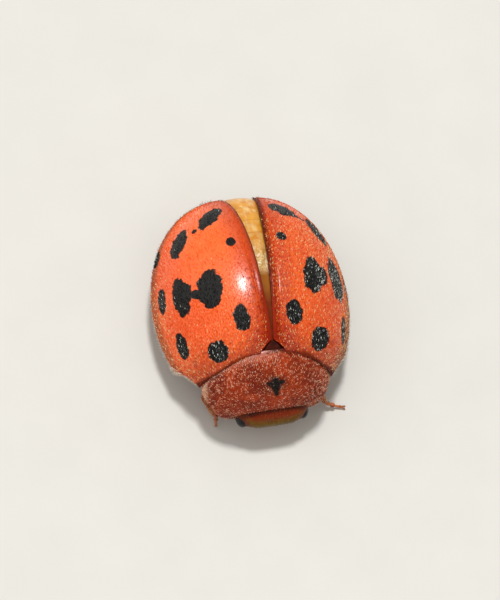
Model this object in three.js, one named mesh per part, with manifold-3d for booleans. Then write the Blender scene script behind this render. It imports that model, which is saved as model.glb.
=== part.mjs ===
// A twenty-four-spot ladybird, Subcoccinella vigintiquatuorpunctata, standing at rest with its
// wing cases parted a little over a full abdomen.
// Millimetres. +Z is up, the head is towards -Y, and the animal's left side is +X.
// The origin is under the middle of the animal, on the surface that it stands on.

import * as THREE from "three";
import { mergeVertices } from "three/addons/utils/BufferGeometryUtils.js";
import Module from "manifold-3d";

// ---- Driving dimensions ----

const GAP = 0.02; // clearance between neighbouring pieces
const SLIVER = 0.002; // faces thinner than this are closed up after the cuts
const SHELL = 0.5; // wall of the wing cases and of the pronotum
const LIMB_RADIUS = 0.25; // legs and feelers
const BEYOND = 4; // further out than any part of the animal

// Facets round a ball, most where most of it shows, and along the ends of and round a rod.
const FACETS = { finest: 46, fine: 32, cutter: 26, medium: 22, plain: 20, coarse: 16, small: 12 };
const ROD_END_FACETS = 2;
const ROD_FACETS = 8;

// The closed wing cases make one dome, an ellipsoid cut off level at their margin.
const DOME_CENTRE = [0, 0.1, 0.52];
const DOME_RADII = [1.44, 1.91, 1.46];
const DOME_BASE_Y = -1.03; // front edge of the wing cases
const MARGIN_Z = DOME_CENTRE[2];
const DOME_TOP_Z = DOME_CENTRE[2] + DOME_RADII[2];

// Plan of a wing case on the left: its shoulder, and three corners wide of the dome, which cuts it.
const SHOULDER_START = [0.82, DOME_BASE_Y - 0.02];
const SHOULDER_CURVE = [1.2, DOME_BASE_Y - 0.02, 1.36, -0.58];
const WIDE_OF_DOME = [[2.2, -0.4], [2.2, 2.4], [0.3, 2.4]];
const TIP_CURVE_Y = 2.0;
const TIP_START_Y = 1.5;

// Each wing case is rolled and turned outwards about a hinge near its front inner corner.
const OPEN_ROLL = THREE.MathUtils.degToRad(6);
const OPEN_YAW = THREE.MathUtils.degToRad(2.8);
const HINGE = [0.1, DOME_BASE_Y, DOME_TOP_Z];

// The pronotum is the shield over the neck. It and the head look a little to the animal's left.
const SHIELD_CENTRE = [0, -0.78, 0.53];
const SHIELD_RADII = [1.16, 1.02, 1.17];
const SHIELD_SQUARENESS = 3; // 2 is an oval plan, and more is a squarer one
const SHIELD_MARGIN_Z = 0.7;
const SHIELD_BASE_Y = -1.04;
const SHIELD_FRONT_Y = -1.69;
const LOOK_ASIDE = THREE.MathUtils.degToRad(3.5);
const NECK = [0, DOME_BASE_Y, 0];

const HEAD_CENTRE = [0, -1.55, 0.78];
const HEAD_RADII = [0.6, 0.43, 0.41];
const HEAD_SQUARENESS = 2.5;
const EYE_CENTRE = [0.54, -1.73, 0.74];
const EYE_RADII = [0.12, 0.155, 0.165];
const MOUTH_CENTRE = [0, -1.8, 0.43];
const MOUTH_RADII = [0.3, 0.18, 0.25];
const FEELER_BASE = [0.49, -1.63, 0.33];
const FEELER_TIP = [0.27, -1.57, 0.3];

const SCUTELLUM_HALF_WIDTH = 0.17;
const SCUTELLUM_TIP_Y = -0.83;
const SCUTELLUM_CORNER_Y = -0.99;
const SCUTELLUM_FRONT_Y = DOME_BASE_Y - 0.08;
const SCUTELLUM_DEPTH = SHELL + 0.25;

const BELLY_CENTRE = [0, 0.05, 0.58];
const BELLY_RADII = [1.18, 1.66, 0.27];
const PROTHORAX_CENTRE = [0, -0.97, 0.6];
const PROTHORAX_RADII = [0.95, 0.64, 0.87];
const PROTHORAX_FRONT_Y = -1.55;
const WAIST_Y = -0.12; // joint between thorax and abdomen
const BACK_DEPTH = 0.12; // the back shows this far down between the parted wing cases
const RISE_FRONT_Y = 1.19; // from here back they are far enough apart for it to rise between them
const RISE_REAR_Y = 2.05;

// Folded hind wings lie on the back, one on each side of the midline.
const HIND_WING_HALF_WIDTH = 0.54;
const HIND_WING_FRONT_Y = -0.58;
const HIND_WING_REAR_Y = 1.16;

// Hip, knee, ankle and toe of each leg, measured outwards from the midline. Soles are cut flat
// a little below the axis of the foot.
const FOOT_Z = 0.22;
const LEGS = {
  fore_leg_left: [
    [0.44, -1.15, 0.4],
    [0.92, -1.24, 0.43],
    [1.11, -1.45, FOOT_Z],
    [1.42, -1.5, FOOT_Z],
  ],
  fore_leg_right: [
    [0.44, -1.15, 0.4],
    [0.95, -1.22, 0.43],
    [0.9, -1.47, FOOT_Z],
    [0.84, -1.75, FOOT_Z],
  ],
  middle_leg_left: [
    [0.42, -0.46, 0.4],
    [1.0, -0.58, 0.42],
    [1.1, -0.23, FOOT_Z],
    [1.16, 0.08, FOOT_Z],
  ],
  hind_leg_left: [
    [0.4, 0.2, 0.4],
    [0.88, 0.57, 0.42],
    [0.78, 0.96, FOOT_Z],
    [0.7, 1.25, FOOT_Z],
  ],
};
LEGS.middle_leg_right = LEGS.middle_leg_left;
LEGS.hind_leg_right = LEGS.hind_leg_left;

// ---- Solids from three.js geometry ----

const wasm = await Module();
wasm.setup();

function solidFrom(geometry) {
  geometry.deleteAttribute("normal");
  geometry.deleteAttribute("uv");
  const welded = mergeVertices(geometry);
  return new wasm.Manifold(
    new wasm.Mesh({
      numProp: 3,
      vertProperties: welded.attributes.position.array,
      triVerts: new Uint32Array(welded.index.array),
    }),
  );
}

// An ellipsoid whose plan is pushed out towards a square where squareness is over 2.
function ballGeometry(centre, radii, around, squareness = 2) {
  const geometry = new THREE.SphereGeometry(1, around, around / 2).rotateX(Math.PI / 2);
  const position = geometry.attributes.position;
  for (let i = 0; i < position.count; i += 1) {
    const x = position.getX(i);
    const y = position.getY(i);
    const reach = Math.hypot(x, y);
    const square = (Math.abs(x) ** squareness + Math.abs(y) ** squareness) ** (1 / squareness);
    const push = reach > 0 ? reach / square : 1;
    position.setXYZ(i, x * push, y * push, position.getZ(i));
  }
  return geometry.scale(...radii).translate(...centre);
}

// An upright block with the given plan, each side of its box moved out by grow.
function prismGeometry(outline, low, high, grow = 0) {
  const options = { depth: high - low, bevelEnabled: false, curveSegments: 6 };
  const geometry = new THREE.ExtrudeGeometry(outline, options).translate(0, 0, low);
  geometry.computeBoundingBox();
  const size = geometry.boundingBox.getSize(new THREE.Vector3());
  const centre = geometry.boundingBox.getCenter(new THREE.Vector3());
  const factors = size.toArray().map((side) => (side + 2 * grow) / side);
  return geometry
    .translate(-centre.x, -centre.y, -centre.z)
    .scale(...factors)
    .translate(centre.x, centre.y, centre.z);
}

function boxSolid(low, high) {
  const size = high.map((value, axis) => value - low[axis]);
  const middle = high.map((value, axis) => (value + low[axis]) / 2);
  return solidFrom(new THREE.BoxGeometry(...size).translate(...middle));
}

// Everything between two levels of Y and above a level of Z.
function slab(fromY, toY, fromZ) {
  return boxSolid([-BEYOND, fromY, fromZ], [BEYOND, toY, BEYOND]);
}

// A round-ended rod between two points.
function rod(from, to, radius) {
  const start = new THREE.Vector3(...from);
  const along = new THREE.Vector3(...to).sub(start);
  const upright = new THREE.Vector3(0, 1, 0);
  const turn = new THREE.Quaternion().setFromUnitVectors(upright, along.clone().normalize());
  const middle = start.addScaledVector(along, 0.5);
  return solidFrom(
    new THREE.CapsuleGeometry(radius, along.length(), ROD_END_FACETS, ROD_FACETS)
      .applyQuaternion(turn)
      .translate(...middle.toArray()),
  );
}

function grown(radii, by) {
  return radii.map((radius) => radius + by);
}

function carved(solid, cutters) {
  return cutters.reduce((left, cutter) => left.subtract(cutter), solid);
}

// The main body of a carved solid, without the chips that the cutters leave loose.
function mainBody(solid) {
  return solid
    .decompose()
    .reduce((best, body) => (body.volume() > best.volume() ? body : best));
}

// ---- Poses ----

function turnAbout(point, euler) {
  const toPoint = new THREE.Matrix4().makeTranslation(...point);
  const turn = new THREE.Matrix4().makeRotationFromEuler(euler);
  return toPoint.clone().multiply(turn).multiply(toPoint.invert());
}

const lookPose = turnAbout(NECK, new THREE.Euler(0, 0, LOOK_ASIDE));

function wingCasePose(side) {
  const hinge = [side * HINGE[0], HINGE[1], HINGE[2]];
  return turnAbout(hinge, new THREE.Euler(0, -side * OPEN_ROLL, -side * OPEN_YAW));
}

function posed(geometry, pose) {
  return solidFrom(geometry.applyMatrix4(pose));
}

// ---- Wing cases ----

// Plan of one wing case: the seam, the base, the shoulder, a side wide of the dome, the tip.
function wingCaseOutline(side) {
  const seam = (side * GAP) / 2;
  const outline = new THREE.Shape();
  outline.moveTo(seam, DOME_BASE_Y);
  outline.lineTo(side * SHOULDER_START[0], SHOULDER_START[1]);
  const [bendX, bendY, endX, endY] = SHOULDER_CURVE;
  outline.quadraticCurveTo(side * bendX, bendY, side * endX, endY);
  for (const [x, y] of WIDE_OF_DOME) {
    outline.lineTo(side * x, y);
  }
  outline.quadraticCurveTo(seam, TIP_CURVE_Y, seam, TIP_START_Y);
  return outline;
}

function wingCase(side, grow = 0) {
  const pose = wingCasePose(side);
  const facets = grow ? FACETS.cutter : FACETS.finest;
  const outer = ballGeometry(DOME_CENTRE, grown(DOME_RADII, grow), facets);
  const inner = ballGeometry(DOME_CENTRE, grown(DOME_RADII, -SHELL - grow), FACETS.medium);
  const plan = prismGeometry(wingCaseOutline(side), MARGIN_Z, DOME_TOP_Z + 1, grow);
  return posed(outer, pose).intersect(posed(plan, pose)).subtract(posed(inner, pose));
}

// ---- Pronotum ----

// Plan of the left half, from the middle of the front edge round to the middle of the base.
const SHIELD_HALF_PLAN = [
  [[0.44, SHIELD_FRONT_Y + 0.04], [0.76, SHIELD_FRONT_Y - 0.04]],
  [[0.89, SHIELD_FRONT_Y - 0.02], [0.97, -1.49]],
  [[1.07, -1.34], [1.07, -1.22]],
  [[1.05, SHIELD_BASE_Y - 0.08], [0.85, SHIELD_BASE_Y - 0.06]],
  [[0.4, SHIELD_BASE_Y], [0, SHIELD_BASE_Y]],
];

// A plan with the same curves on both sides, each a control point and an end point.
function mirroredOutline(start, curves) {
  const ends = [start, ...curves.map(([, end]) => end)];
  const outline = new THREE.Shape();
  outline.moveTo(...start);
  for (const [control, end] of curves) {
    outline.quadraticCurveTo(...control, ...end);
  }
  for (let i = curves.length - 1; i >= 0; i -= 1) {
    const [[controlX, controlY]] = curves[i];
    const [endX, endY] = ends[i];
    outline.quadraticCurveTo(-controlX, controlY, -endX, endY);
  }
  return outline;
}

function pronotum(grow = 0) {
  const full = grown(SHIELD_RADII, grow);
  const hollow = grown(SHIELD_RADII, -SHELL - grow);
  const outer = ballGeometry(SHIELD_CENTRE, full, FACETS.fine, SHIELD_SQUARENESS);
  const inner = ballGeometry(SHIELD_CENTRE, hollow, FACETS.plain, SHIELD_SQUARENESS);
  const outline = mirroredOutline([0, SHIELD_FRONT_Y + 0.05], SHIELD_HALF_PLAN);
  const plan = prismGeometry(outline, SHIELD_MARGIN_Z, DOME_TOP_Z + 1, grow);
  return posed(outer, lookPose)
    .intersect(posed(plan, lookPose))
    .subtract(posed(inner, lookPose));
}

// ---- Scutellum, the small triangle between the wing cases and the pronotum ----

function scutellum(grow = 0) {
  const plan = [
    [[0.1, SCUTELLUM_FRONT_Y], [SCUTELLUM_HALF_WIDTH, SCUTELLUM_FRONT_Y]],
    [[SCUTELLUM_HALF_WIDTH, DOME_BASE_Y], [SCUTELLUM_HALF_WIDTH, SCUTELLUM_CORNER_Y]],
    [[0.1, SCUTELLUM_TIP_Y - 0.04], [0, SCUTELLUM_TIP_Y]],
  ];
  const outline = mirroredOutline([0, SCUTELLUM_FRONT_Y], plan);
  const bottom = DOME_TOP_Z - SCUTELLUM_DEPTH;
  return solidFrom(
    ballGeometry(DOME_CENTRE, grown(DOME_RADII, grow), FACETS.fine),
  ).intersect(solidFrom(prismGeometry(outline, bottom, DOME_TOP_Z + 1, grow)));
}

// ---- Head ----

function headBall(grow = 0) {
  const radii = grown(HEAD_RADII, grow);
  return posed(ballGeometry(HEAD_CENTRE, radii, FACETS.medium, HEAD_SQUARENESS), lookPose);
}

function eye(side, grow = 0) {
  const centre = [side * EYE_CENTRE[0], EYE_CENTRE[1], EYE_CENTRE[2]];
  return posed(ballGeometry(centre, grown(EYE_RADII, grow), FACETS.small), lookPose);
}

function mouthparts(grow = 0) {
  return posed(ballGeometry(MOUTH_CENTRE, grown(MOUTH_RADII, grow), FACETS.small), lookPose);
}

// Each feeler is folded in under the head.
function antenna(side, grow = 0) {
  const [from, to] = [FEELER_BASE, FEELER_TIP].map(([out, y, z]) => [side * out, y, z]);
  return rod(from, to, LIMB_RADIUS + grow);
}

// ---- Legs ----

function aboveFloor(solid) {
  return solid.intersect(slab(-BEYOND, BEYOND, 0));
}

// One segment of a leg: 0 is the femur, 1 the tibia and 2 the tarsus.
function legSegment(leg, segment, grow = 0) {
  const side = leg.endsWith("left") ? 1 : -1;
  const [from, to] = LEGS[leg]
    .slice(segment, segment + 2)
    .map(([out, y, z]) => [side * out, y, z]);
  return aboveFloor(rod(from, to, LIMB_RADIUS + grow));
}

// ---- Trunk ----

const FEELERS = [antenna(1, GAP), antenna(-1, GAP)];
const LIMBS = Object.keys(LEGS).flatMap((leg) =>
  [0, 1, 2].map((segment) => legSegment(leg, segment, GAP)),
);

function domeInside(depth, around) {
  return solidFrom(ballGeometry(DOME_CENTRE, grown(DOME_RADII, -depth), around));
}

// The rear of the back rises into the gap between the wing cases, which widens to the tail.
function riseInGap() {
  const wedge = [
    [[0.06, RISE_FRONT_Y], [0.12, RISE_FRONT_Y]],
    [[0.19, 1.7], [0.3, RISE_REAR_Y]],
    [[0.1, RISE_REAR_Y], [0, RISE_REAR_Y]],
  ];
  const outline = mirroredOutline([0, RISE_FRONT_Y], wedge);
  return domeInside(BACK_DEPTH, FACETS.fine).intersect(
    solidFrom(prismGeometry(outline, MARGIN_Z + 0.1, DOME_TOP_Z)),
  );
}

// The trunk fills the hollow of the wing cases and bulges a little below them.
function trunkBulk() {
  const aboveBelly = slab(-BEYOND, BEYOND, MARGIN_Z - 0.1);
  const filling = domeInside(SHELL + GAP, FACETS.plain).intersect(aboveBelly);
  const belly = solidFrom(ballGeometry(BELLY_CENTRE, BELLY_RADII, FACETS.coarse));
  const underMargin = boxSolid([-BEYOND, -BEYOND, 0], [BEYOND, BEYOND, MARGIN_Z - GAP]);
  return filling.add(belly.intersect(underMargin)).add(riseInGap());
}

// A block on the back, above a floor that follows the dome at a depth under it.
function backBlock([fromX, fromY], [toX, toY], depth) {
  const block = boxSolid([fromX, fromY, MARGIN_Z], [toX, toY, BEYOND]);
  return block.subtract(domeInside(depth, FACETS.coarse));
}

function hindWing(side) {
  const [fromX, toX] = [(side * GAP) / 2, side * HIND_WING_HALF_WIDTH].sort((a, b) => a - b);
  const lid = SHELL + 2 * GAP;
  return domeInside(lid, FACETS.medium).intersect(
    backBlock([fromX, HIND_WING_FRONT_Y], [toX, HIND_WING_REAR_Y], lid + SHELL),
  );
}

function trunkPart(fromY, toY) {
  const side = HIND_WING_HALF_WIDTH + GAP;
  const corners = [[-side, HIND_WING_FRONT_Y - GAP], [side, HIND_WING_REAR_Y + GAP]];
  const wingRoom = backBlock(...corners, 2 * SHELL + 3 * GAP);
  const part = trunkBulk().intersect(slab(fromY, toY, 0));
  return carved(part, [...LIMBS, wingRoom]);
}

function prothorax() {
  const bulk = solidFrom(ballGeometry(PROTHORAX_CENTRE, PROTHORAX_RADII, FACETS.plain));
  const slice = slab(PROTHORAX_FRONT_Y, DOME_BASE_Y - GAP, BELLY_CENTRE[2] - BELLY_RADII[2]);
  const neighbours = [pronotum(GAP), headBall(GAP), mouthparts(GAP), ...FEELERS, ...LIMBS];
  return carved(bulk.intersect(slice), [...neighbours, wingCase(1, GAP), wingCase(-1, GAP)]);
}

// ---- Materials ----

const FINISHES = {
  wingCase: [0xf0562a, 0.35],
  pronotum: [0xa8402a, 0.4],
  head: [0x8a3a1e, 0.3],
  limb: [0xa85a28, 0.4],
  eye: [0x0c0c0e, 0.15],
  body: [0xe0963a, 0.5],
  membrane: [0xb9925a, 0.35],
  scutellum: [0x3a1a10, 0.4],
};

// ---- Assembly ----

const animal = new THREE.Group();

function place(name, solid, finish) {
  const { numProp, vertProperties, triVerts } = mainBody(solid.simplify(SLIVER)).getMesh();
  const corners = new THREE.BufferAttribute(new Float32Array(vertProperties), numProp);
  const geometry = new THREE.BufferGeometry();
  geometry.setAttribute("position", corners);
  geometry.setIndex(new THREE.BufferAttribute(new Uint32Array(triVerts), 1));
  geometry.computeVertexNormals();
  const [color, roughness] = FINISHES[finish];
  const material = new THREE.MeshStandardMaterial({ color, roughness, metalness: 0 });
  const mesh = new THREE.Mesh(geometry, material);
  mesh.name = name;
  animal.add(mesh);
}

for (const [label, side] of [["left", 1], ["right", -1]]) {
  const seated = carved(wingCase(side), [pronotum(GAP), scutellum(GAP)]);
  place(`elytron_${label}`, seated, "wingCase");
  place(`hind_wing_${label}`, hindWing(side), "membrane");
  place(`eye_${label}`, carved(eye(side), [pronotum(GAP)]), "eye");
  place(`antenna_${label}`, antenna(side), "limb");
}

const headCutters = [pronotum(GAP), eye(1, GAP), eye(-1, GAP), mouthparts(GAP)];
place("pronotum", pronotum(), "pronotum");
place("scutellum", carved(scutellum(), [pronotum(GAP)]), "scutellum");
place("mouthparts", carved(mouthparts(), FEELERS), "limb");
place("head", carved(headBall(), [...headCutters, ...FEELERS, ...LIMBS]), "head");
place("prothorax", prothorax(), "body");
place("thorax", trunkPart(DOME_BASE_Y + GAP, WAIST_Y - GAP / 2), "body");
place("abdomen", trunkPart(WAIST_Y + GAP / 2, BEYOND), "body");

for (const leg of Object.keys(LEGS)) {
  const tibia = carved(legSegment(leg, 1), [legSegment(leg, 0, GAP)]);
  const tarsus = carved(legSegment(leg, 2), [legSegment(leg, 1, GAP)]);
  place(`${leg}_femur`, legSegment(leg, 0), "limb");
  place(`${leg}_tibia`, tibia, "limb");
  place(`${leg}_tarsus`, tarsus, "limb");
}

const extent = new THREE.Box3().setFromObject(animal);
const middle = extent.getCenter(new THREE.Vector3());
animal.position.set(-middle.x, -middle.y, -extent.min.z);

const ladybird = new THREE.Group();
ladybird.add(animal);

export default ladybird;
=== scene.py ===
"""A twenty-four-spot ladybird, standing with its wing cases a little parted over a full abdomen.

Sizes are in millimetres in the animal's own frame: +Z up, head towards -Y, its left side +X, the
midline at X 0. finished() turns a piece into the row's metres. "Outwards" is away from the midline.
"""

import math
from collections import Counter

import bpy
import numpy as np
from mathutils import Matrix, Vector


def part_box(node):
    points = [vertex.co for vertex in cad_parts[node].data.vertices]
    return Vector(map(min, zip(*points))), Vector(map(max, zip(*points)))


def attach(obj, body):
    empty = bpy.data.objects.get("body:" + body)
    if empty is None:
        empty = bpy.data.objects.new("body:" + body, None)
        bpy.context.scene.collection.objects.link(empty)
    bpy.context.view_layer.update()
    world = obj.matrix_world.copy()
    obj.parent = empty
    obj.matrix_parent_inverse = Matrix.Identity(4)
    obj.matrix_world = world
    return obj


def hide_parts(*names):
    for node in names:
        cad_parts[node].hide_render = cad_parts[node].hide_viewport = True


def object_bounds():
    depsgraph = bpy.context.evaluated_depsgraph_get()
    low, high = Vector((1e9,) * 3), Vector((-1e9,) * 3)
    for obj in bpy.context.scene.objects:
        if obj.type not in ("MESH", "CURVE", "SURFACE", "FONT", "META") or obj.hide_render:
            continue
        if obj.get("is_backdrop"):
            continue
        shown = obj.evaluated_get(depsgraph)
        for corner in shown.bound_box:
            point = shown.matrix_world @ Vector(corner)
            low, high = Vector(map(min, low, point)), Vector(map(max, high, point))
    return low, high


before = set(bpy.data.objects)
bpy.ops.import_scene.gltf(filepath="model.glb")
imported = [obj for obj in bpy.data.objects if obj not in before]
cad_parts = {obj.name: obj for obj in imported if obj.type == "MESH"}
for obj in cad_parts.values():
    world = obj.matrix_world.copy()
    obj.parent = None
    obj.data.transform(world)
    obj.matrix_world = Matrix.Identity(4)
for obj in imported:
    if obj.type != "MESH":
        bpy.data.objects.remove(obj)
CAD_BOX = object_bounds()

MM = 0.001
LEFT, RIGHT = 1, -1
SIDES = {"left": LEFT, "right": RIGHT}

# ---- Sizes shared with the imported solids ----

SCUTELLUM_TIP_Y = -0.83
SCUTELLUM_LOW, SCUTELLUM_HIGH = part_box("scutellum")
ORIGIN = Vector((
    (SCUTELLUM_LOW.x + SCUTELLUM_HIGH.x) / 2,
    SCUTELLUM_HIGH.y - SCUTELLUM_TIP_Y * MM,
    0.0,
))

DOWN_DEPTH = 0.02
DOME_CENTRE = np.array([0.0, 0.1, 0.52])
DOME_RADII = np.array([1.44, 1.91, 1.46]) - DOWN_DEPTH
DOME_BASE_Y = -1.03
DOME_TOP_Z = 1.98
OPEN_ROLL = math.radians(6.0)
OPEN_YAW = math.radians(2.8)
HINGE = Vector((0.1, DOME_BASE_Y, DOME_TOP_Z))

SHIELD_CENTRE = np.array([0.0, -0.78, 0.53])
SHIELD_RADII = np.array([1.16, 1.02, 1.17]) - DOWN_DEPTH
SHIELD_SQUARENESS = 3.0
SHIELD_BASE_Y = -1.04
SHIELD_FRONT_Y = -1.69
LOOK_ASIDE = math.radians(3.5)
NECK = Vector((0.0, DOME_BASE_Y, 0.0))

HEAD_CENTRE = np.array([0.0, -1.55, 0.62])
HEAD_RADII = np.array([0.62, 0.335, 0.29])
HEAD_SQUARENESS = 3.1
EYE_CENTRE = np.array([0.5, -1.7, 0.58])
EYE_RADII = np.array([0.105, 0.135, 0.135])


def turn_about(point, turn):
    to_point = Matrix.Translation(point)
    return to_point @ turn.to_4x4() @ to_point.inverted()


# The left wing case's pose. The right one is its mirror image.
WING_CASE_POSE = turn_about(
    HINGE, Matrix.Rotation(-OPEN_ROLL, 3, "Y") @ Matrix.Rotation(-OPEN_YAW, 3, "Z")
)
LOOK_POSE = turn_about(NECK, Matrix.Rotation(LOOK_ASIDE, 3, "Z"))
HEAD_POSE = LOOK_POSE @ Matrix.Translation((0.04, 0, 0))
MIRROR = Matrix.Diagonal((-1.0, 1.0, 1.0, 1.0))


# ---- Making and shaping pieces ----

UNWRAP_MARGIN = 0.02

# How many points stand for a curve of an outline, and for a ray of a plate, before they are
# spaced out again.
CURVE_POINTS = 120
RAY_POINTS = 400


def only(piece):
    """Leaves this piece alone selected, because an operator acts on all that is selected."""
    if bpy.context.object is not None and bpy.context.object.mode == "EDIT":
        bpy.ops.object.mode_set(mode="OBJECT")
    bpy.ops.object.select_all(action="DESELECT")
    if piece is not None:
        piece.select_set(True)
        bpy.context.view_layer.objects.active = piece


def begin(name, primitive, **sizes):
    """A primitive under the piece's own name."""
    only(None)
    primitive(**sizes)
    bpy.ops.object.transform_apply()
    piece = bpy.context.object
    piece.name = piece.data.name = name
    return piece


def edit(piece):
    only(piece)
    bpy.ops.object.mode_set(mode="EDIT")
    bpy.ops.mesh.select_all(action="SELECT")


def pick(piece, kind, test, rim=False):
    """Selects the corners, edges or faces whose middle passes a test, or of edges only the rim."""
    bpy.ops.object.mode_set(mode="OBJECT")
    mesh = piece.data
    for group in (mesh.vertices, mesh.edges, mesh.polygons):
        group.foreach_set("select", [False] * len(group))
    places = points_of(piece)
    group = {"VERT": mesh.vertices, "EDGE": mesh.edges, "FACE": mesh.polygons}[kind]
    used = Counter(key for face in mesh.polygons for key in face.edge_keys) if rim else {}
    for part in group:
        corners = [part.index] if kind == "VERT" else list(part.vertices)
        open_edge = not rim or used[part.key] == 1
        part.select = open_edge and bool(test(places[corners].mean(axis=0)))
    bpy.ops.object.mode_set(mode="EDIT")
    bpy.ops.mesh.select_mode(type=kind)


def points_of(piece):
    flat = np.empty(3 * len(piece.data.vertices), np.float32)
    piece.data.vertices.foreach_get("co", flat)
    return flat.reshape(-1, 3).astype(float)


def move(piece, places):
    """Puts every corner of a piece at a new place, as sculpting would."""
    piece.data.vertices.foreach_set("co", np.asarray(places, np.float32).ravel())
    piece.data.update()


def apply(piece, kind, **settings):
    """Adds a modifier and applies it."""
    only(piece)
    modifier = piece.modifiers.new(kind, kind)
    for name, value in settings.items():
        setattr(modifier, name, value)
    bpy.ops.object.modifier_apply(modifier=modifier.name)


def posed(piece, pose=Matrix(), side=LEFT):
    """Takes a piece from its closed place to its pose, on the left or mirrored on the right."""
    piece.data.transform(pose)
    if side == RIGHT:
        piece.data.transform(MIRROR)
        piece.data.flip_normals()


def finished(piece, material, slot, *nodes, smooth=55):
    """Turns a shaped piece into metres, gives it its material, smooths it and hides the solids it
    stands for.
    """
    piece.data.transform(Matrix.Translation(ORIGIN) @ Matrix.Scale(MM, 4))
    piece.data.materials.clear()
    piece.data.materials.append(material)
    only(piece)
    bpy.ops.object.shade_smooth_by_angle(angle=math.radians(smooth))
    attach(piece, "root")
    if nodes:
        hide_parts(*nodes)
    return piece


def ease(value, low=0.0, high=1.0):
    """0 up to low, 1 from high on, and a smooth step between."""
    share = np.clip((value - low) / (high - low), 0.0, 1.0)
    return share * share * (3.0 - 2.0 * share)


def bump(*offsets):
    """A round swelling: 1 where all offsets are 0, and falling off where they reach 1."""
    return np.exp(-sum(np.square(offset) for offset in offsets))


def outline_from(start, curves, spokes, soften=0.1, within=None):
    """Evenly spaced points on a closed plan of quadratic curves, its corners softened."""
    share = np.linspace(0.0, 1.0, CURVE_POINTS, endpoint=False)[:, None]
    starts = [start] + [end for _, end in curves[:-1]]
    path = np.concatenate([
        (1 - share) ** 2 * np.array(a) + 2 * share * (1 - share) * np.array(b)
        + share ** 2 * np.array(c)
        for a, (b, c) in zip(starts, curves)
    ])
    path = within(path) if within else path
    fine = evenly(path, spokes * 8)
    girth = np.linalg.norm(np.roll(fine, -1, axis=0) - fine, axis=1).sum()
    half = max(1, int(round(soften / 2 / girth * len(fine))))
    fine = sum(np.roll(fine, k, axis=0) for k in range(-half, half + 1)) / (2 * half + 1)
    return evenly(fine, spokes)


def evenly(loop, count):
    """The same closed loop with count points, evenly spaced along it."""
    return along(np.vstack([loop, loop[:1]]), count + 1)[:-1]


def along(path, count):
    """Evenly spaced points along a bent line."""
    path = np.array(path, float)
    way = way_along(path)
    wanted = np.linspace(0, way[-1], count)
    return np.stack([np.interp(wanted, way, column) for column in path.T], axis=1)


def way_along(path):
    """How far along a bent line each of its points lies."""
    steps = np.linalg.norm(np.diff(path, axis=0), axis=1)
    return np.concatenate([[0.0], np.cumsum(steps)])


def lay_flat(piece, flat):
    """Gives a piece an unwrap, by which the hairs on it find their place in the OFBake map."""
    unwrap = piece.data.attributes.new("unwrap", "FLOAT2", "POINT")
    unwrap.data.foreach_set("vector", flat.astype(np.float32).ravel())


def unrolled(x, y, share):
    """The unwrap of a round body, by the turn about its axis and the share of the way along."""
    turn = (np.arctan2(y, x) / (2 * math.pi)) % 1.0
    return UNWRAP_MARGIN + (1 - 2 * UNWRAP_MARGIN) * np.stack([turn, share], axis=1)


def hem(drop, across=1.0, lengthwise=1.0, about=(0, 0, 0)):
    """Extrudes the selected rim up or down, then draws it in towards a point."""
    bpy.ops.mesh.extrude_region_move(TRANSFORM_OT_translate={"value": (0, 0, drop)})
    if across != 1.0:
        bpy.ops.transform.resize(value=(across, lengthwise, 1), center_override=about)


def rings_to_rim(wide, share, fine):
    """Rings for a plate: so many up to a share of the way, and so many closer ones to the rim."""
    return [*np.linspace(0, share, wide), *np.linspace(share, 1, fine)[1:]]


def plate(name, outline, pole, surface, rings):
    """An open shell over a plan: rings run from the pole out to the outline.

    surface takes plan points and gives their places. rings lists how far out each ring lies, as a
    share of the way along the surface.
    """
    spokes, last = len(outline), len(rings) - 1
    piece = begin(name, bpy.ops.mesh.primitive_uv_sphere_add,
                  segments=spokes, ring_count=2 * last, radius=1)
    edit(piece)
    pick(piece, "VERT", lambda place: place[2] < -0.001)
    bpy.ops.mesh.delete(type="VERT")
    bpy.ops.object.mode_set(mode="OBJECT")
    unit = points_of(piece)
    polar = np.arccos(np.clip(unit[:, 2], -1, 1))
    ring = np.rint(polar / (math.pi / 2) * last).astype(int)
    turn = np.arctan2(unit[:, 1], unit[:, 0]) / (2 * math.pi)
    spoke = np.rint(turn * spokes).astype(int) % spokes
    share = 1 - (1 - np.linspace(0, 1, RAY_POINTS)) ** 2
    plan = np.array(pole) + share[:, None, None] * (outline - np.array(pole))
    rays = surface(plan)
    laid = np.empty((last + 1, spokes, 3))
    for j in range(spokes):
        way = way_along(rays[:, j])
        for k in range(3):
            laid[:, j, k] = np.interp(np.array(rings) * way[-1], way, rays[:, j, k])
    move(piece, laid[ring, spoke])
    reach = 0.49 * ring / last
    angle = 2 * math.pi * spoke / spokes
    lay_flat(piece, 0.5 + np.stack([reach * np.cos(angle), reach * np.sin(angle)], axis=1))
    return piece


def ball(name, centre, radii, around, squareness=2.0):
    """A rounded body that bulges to the sides where its squareness is over 2."""
    piece = begin(name, bpy.ops.mesh.primitive_uv_sphere_add,
                  segments=around, ring_count=around // 2, radius=1)
    unit = points_of(piece)
    x, y = unit[:, 0], unit[:, 1]
    square = (np.abs(x) ** squareness + np.abs(y) ** squareness) ** (1 / squareness)
    reach = np.hypot(x, y)
    unit[:, :2] *= np.where(square > 0, reach / np.maximum(square, 1e-9), 1)[:, None]
    polar = np.arccos(np.clip(unit[:, 2], -1, 1)) / math.pi
    lay_flat(piece, unrolled(unit[:, 0], unit[:, 1], polar))
    move(piece, unit * np.array(radii) + np.array(centre))
    return piece


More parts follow.
